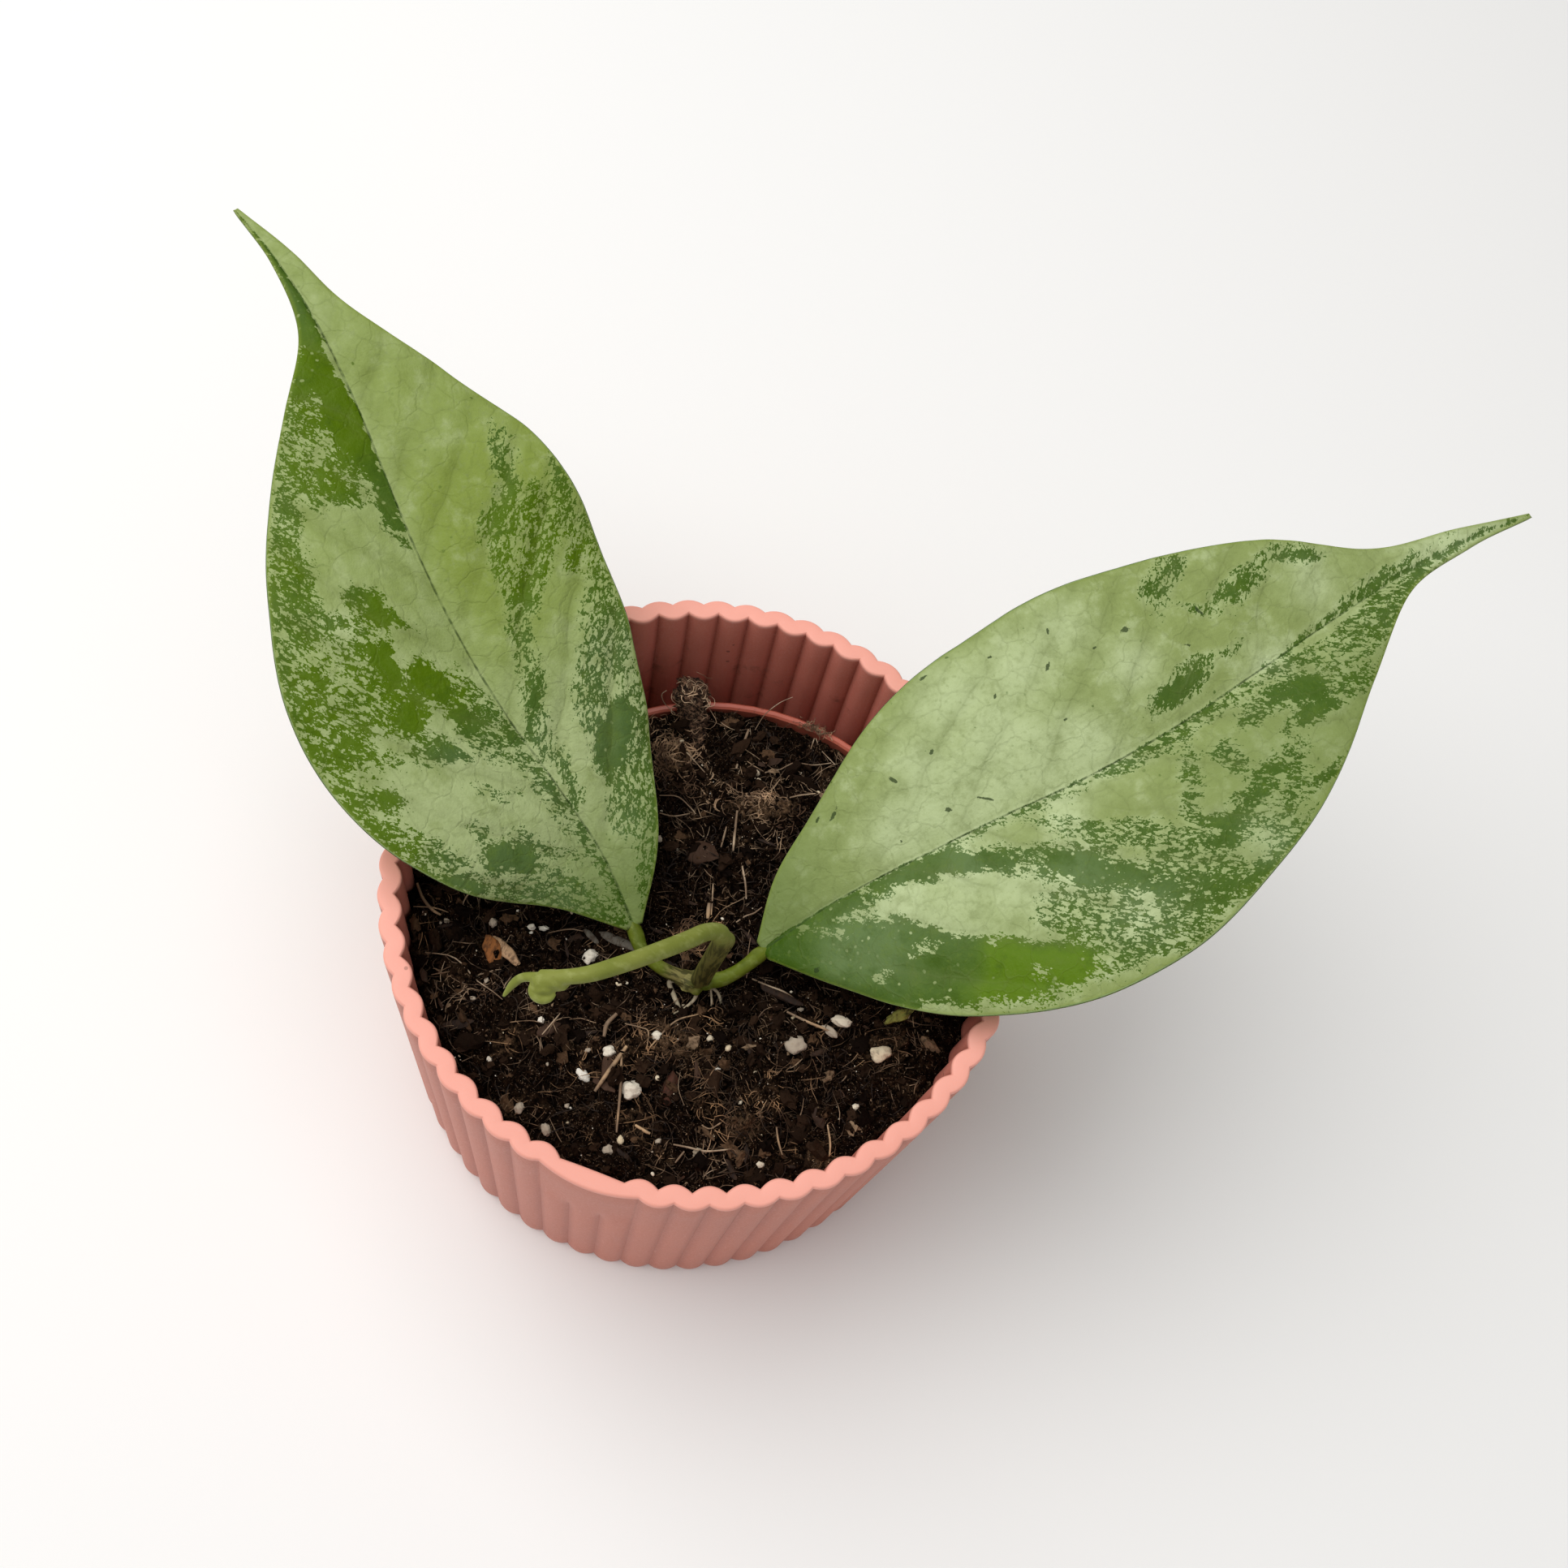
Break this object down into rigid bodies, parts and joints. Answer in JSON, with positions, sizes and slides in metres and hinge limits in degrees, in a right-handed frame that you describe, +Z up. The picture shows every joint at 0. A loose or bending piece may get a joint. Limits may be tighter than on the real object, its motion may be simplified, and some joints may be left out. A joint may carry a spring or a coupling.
{
  "type": "potted houseplant",
  "caption": "Young hoya with long pointed silver-splashed leaves, in a thin nursery pot inside a fluted round cover pot.",
  "frame": {"origin": "centre of the cover pot's flat underside, which rests on the surface", "axes": "+Z up along the pots, -Y towards the smooth pad at the front of the cover pot, +X to the right seen from the front"},
  "size_m": [0.2552, 0.1813, 0.1345],
  "materials": {
    "pot_pink": "matte",
    "nursery_terracotta": "satin",
    "potting_mix": "matte",
    "stem_green": "satin",
    "shoot_lime": "satin",
    "leaf_silver_green": "satin",
    "leaf_sage_green": "satin"
  },
  "bodies": {
    "root": {"cover_pot": "pot_pink", "nursery_pot": "nursery_terracotta", "potting_mix": "potting_mix", "hoya_stem": "stem_green", "new_shoot": "shoot_lime", "leaf_left": "leaf_silver_green", "leaf_right": "leaf_sage_green"}
  },
  "joints": []
}
